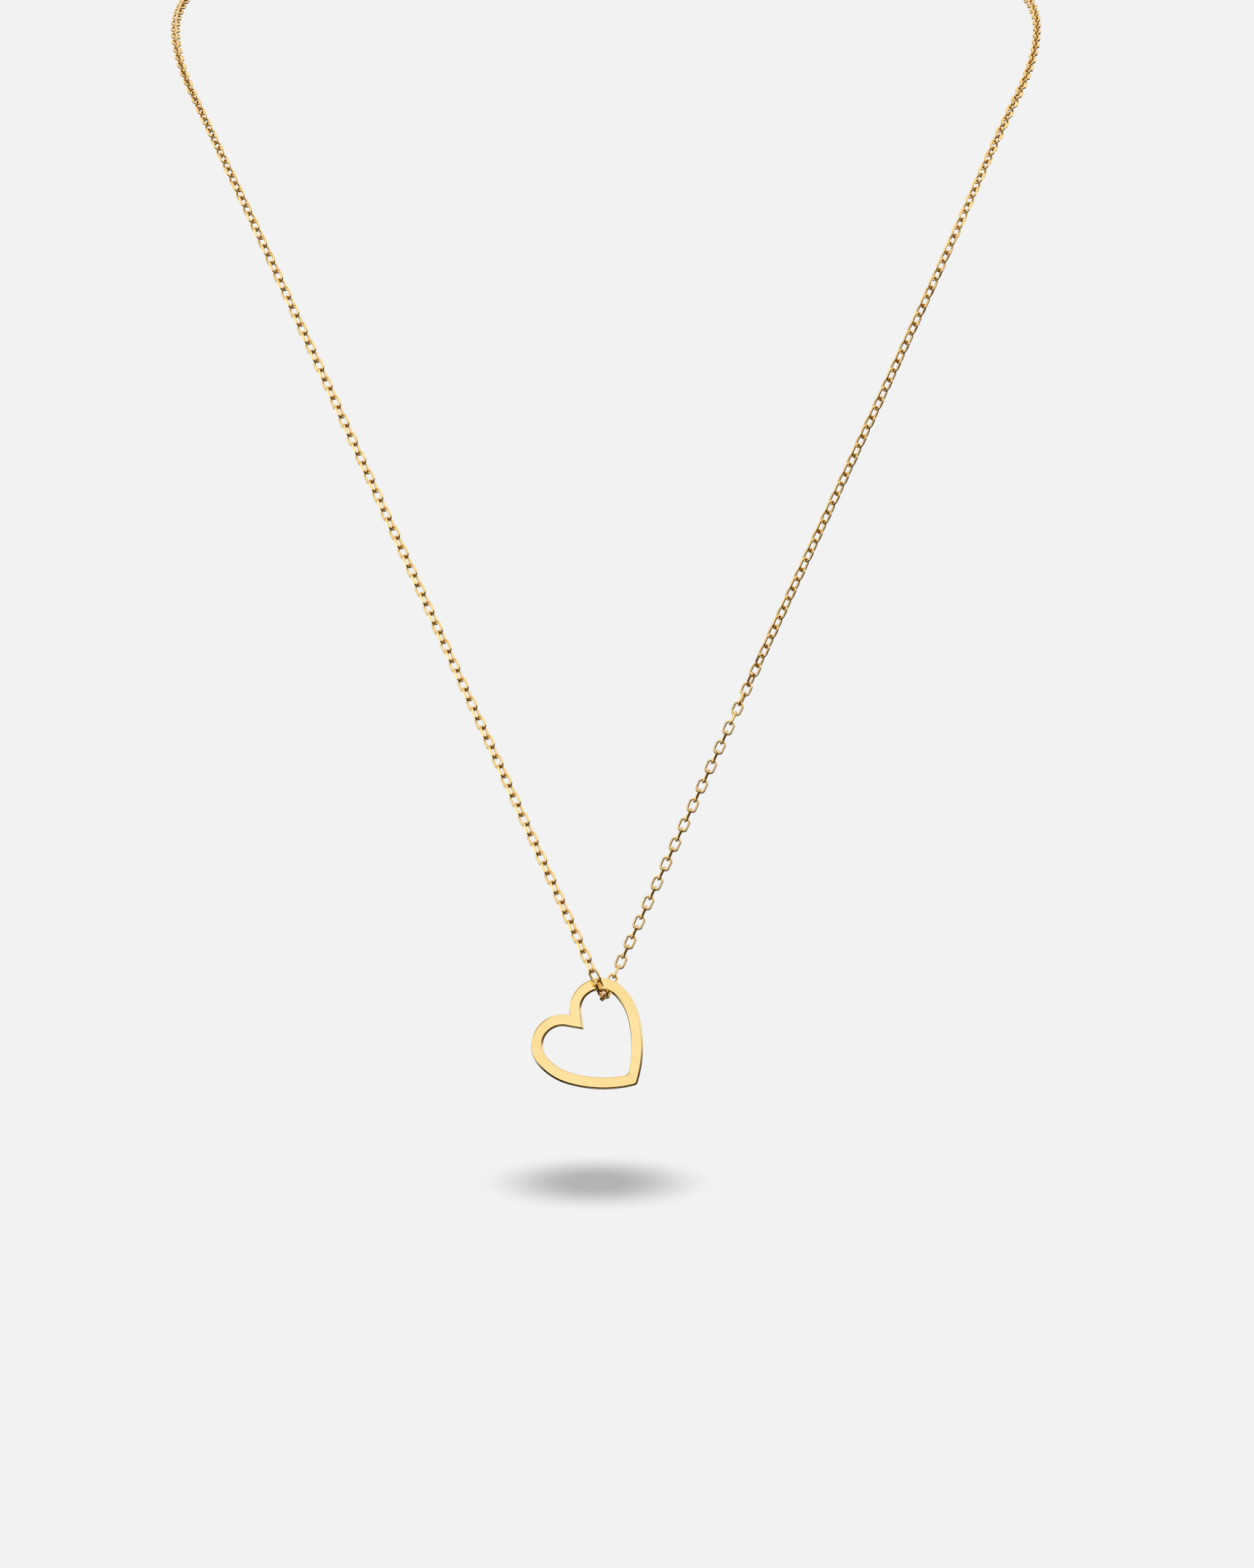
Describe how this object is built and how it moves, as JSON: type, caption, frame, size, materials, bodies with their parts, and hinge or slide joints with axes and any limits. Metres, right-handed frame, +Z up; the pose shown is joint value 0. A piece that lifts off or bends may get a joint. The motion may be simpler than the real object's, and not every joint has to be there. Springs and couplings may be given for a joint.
{
  "type": "necklace",
  "caption": "Fine yellow gold anchor chain necklace with an open heart pendant hung straight on the chain by one lobe.",
  "frame": {"origin": "the nape, where the necklace hangs, at the middle of the clasp's ring", "axes": "+Z up, +X to the right of someone facing the wearer, the wearer faces -Y"},
  "size_m": [0.1042, 0.1117, 0.139],
  "materials": {
    "chain_gold": "polished yellow gold",
    "heart_gold": "polished yellow gold",
    "clasp_gold": "polished yellow gold"
  },
  "bodies": {
    "necklace": {"chain_front": "chain_gold", "chain_back": "chain_gold", "clasp": "clasp_gold"},
    "pendant": {"heart_pendant": "heart_gold"}
  },
  "joints": [
    {"name": "pendant_swing", "type": "hinge", "parent": "necklace", "child": "pendant", "pos_m": [0, -0.108, -0.126], "axis": [0, -0.9613, 0.2756], "range_deg": [-30, 30]}
  ]
}
